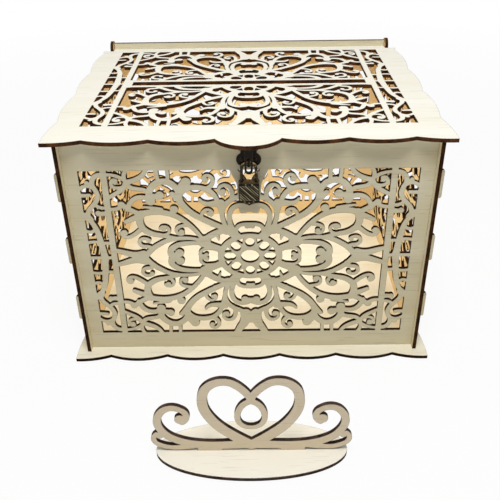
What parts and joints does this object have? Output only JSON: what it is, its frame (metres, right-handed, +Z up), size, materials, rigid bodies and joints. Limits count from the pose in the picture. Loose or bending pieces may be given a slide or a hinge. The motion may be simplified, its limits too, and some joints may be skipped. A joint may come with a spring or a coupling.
{
  "type": "wedding card box",
  "caption": "Wedding card box of pierced plywood panels with a scalloped base, a pivoting lid with a long card slot, a front hasp and padlock, and a free-standing oval-footed sign.",
  "frame": {"origin": "centre of the underside of the base plate, on the table", "axes": "front of the box towards -Y, +X to the right as seen from the front, +Z up"},
  "size_m": [0.302, 0.4046, 0.2056],
  "materials": {
    "birch_plywood": "laser-cut birch",
    "blackened_iron": "blackened",
    "antique_bronze": "antiqued",
    "aged_brass": "aged"
  },
  "bodies": {
    "box": {"base_plate": "birch_plywood", "front_panel": "birch_plywood", "back_panel": "birch_plywood", "left_side_panel": "birch_plywood", "right_side_panel": "birch_plywood", "staple_plate": "blackened_iron", "staple_screws": "blackened_iron", "staple_loop": "blackened_iron", "sign_base": "birch_plywood", "sign_ornament": "birch_plywood"},
    "lid": {"lid_panel": "birch_plywood", "hinge_rail": "birch_plywood", "hasp_leaf": "blackened_iron", "hasp_leaf_screws": "blackened_iron", "hasp_hinge_pin": "blackened_iron"},
    "hasp_strap": {"hasp_strap": "blackened_iron"},
    "shackle": {"padlock_shackle": "aged_brass"},
    "padlock": {"padlock_case": "antique_bronze", "padlock_front_cover": "antique_bronze", "padlock_back_cover": "antique_bronze", "padlock_rivets": "aged_brass"},
    "key_plug": {"padlock_key_plug": "aged_brass"}
  },
  "joints": [
    {"name": "lid_hinge", "type": "hinge", "parent": "box", "child": "lid", "pos_m": [0, 0.1215, 0.1965], "axis": [-1, 0, 0], "range_deg": [0, 115]},
    {"name": "hasp_swing", "type": "hinge", "parent": "lid", "child": "hasp_strap", "pos_m": [0, -0.133, 0.1932], "axis": [-1, 0, 0], "range_deg": [0, 80]},
    {"name": "padlock_swing", "type": "hinge", "parent": "box", "child": "shackle", "pos_m": [0, -0.12753, 0.17927], "axis": [-1, 0, 0], "range_deg": [0, 60]},
    {"name": "shackle_release", "type": "slide", "parent": "shackle", "child": "padlock", "axis": [0, 0, -1], "range_m": [0, 0.0105]},
    {"name": "key_plug_turn", "type": "hinge", "parent": "padlock", "child": "key_plug", "pos_m": [0, -0.12753, 0.14827], "axis": [0, 0, -1], "range_deg": [0, 90]}
  ]
}
